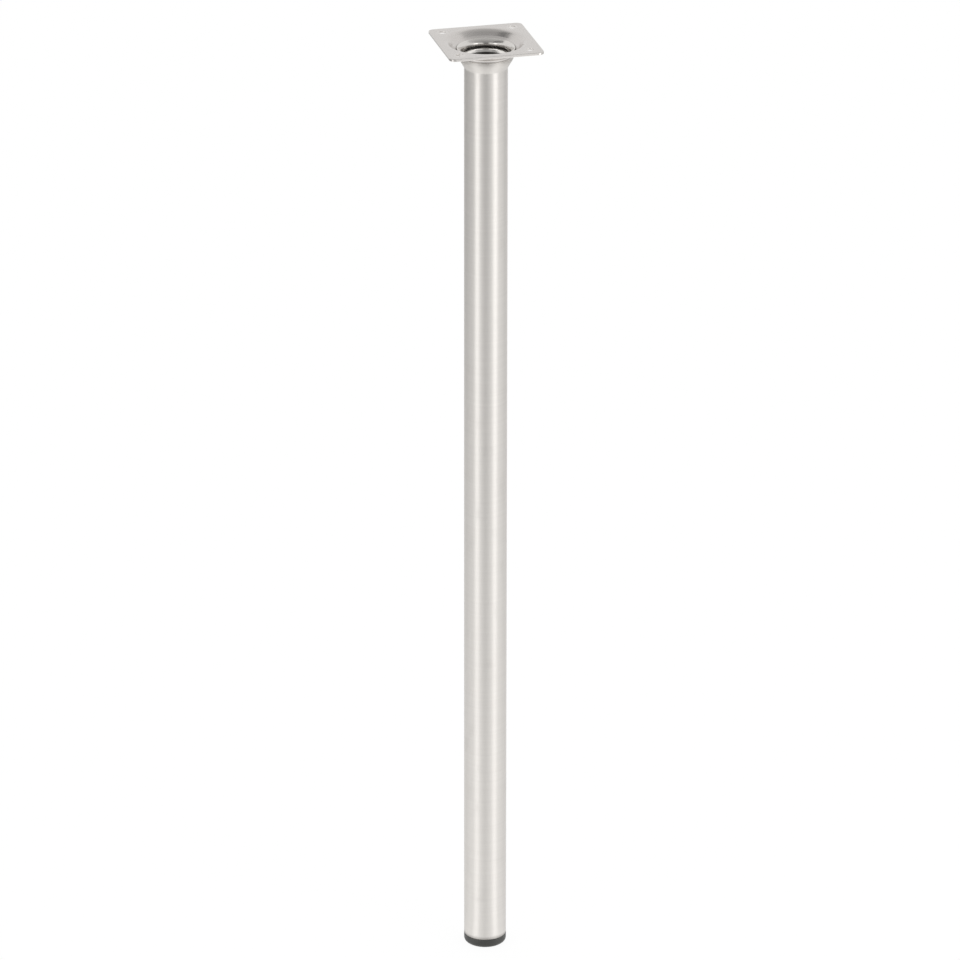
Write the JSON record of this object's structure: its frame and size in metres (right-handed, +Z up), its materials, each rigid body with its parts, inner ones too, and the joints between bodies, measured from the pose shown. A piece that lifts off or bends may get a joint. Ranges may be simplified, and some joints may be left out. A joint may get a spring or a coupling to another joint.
{
  "type": "furniture leg",
  "caption": "Straight round steel furniture leg with a square pressed mounting plate and a push-in plastic foot cap.",
  "frame": {"origin": "on the floor, under the middle of the foot", "axes": "+Z up along the tube, from the foot to the mounting plate; X and Y along the plate's edges"},
  "size_m": [0.07, 0.07, 0.72],
  "materials": {
    "plate_steel": "satin nickel colour, pressed sheet",
    "tube_steel": "brushed round the tube, satin",
    "cap_plastic": "moulded, fine matt"
  },
  "bodies": {
    "root": {"mounting_plate": "plate_steel", "leg_tube": "tube_steel", "foot_cap": "cap_plastic"}
  },
  "joints": []
}
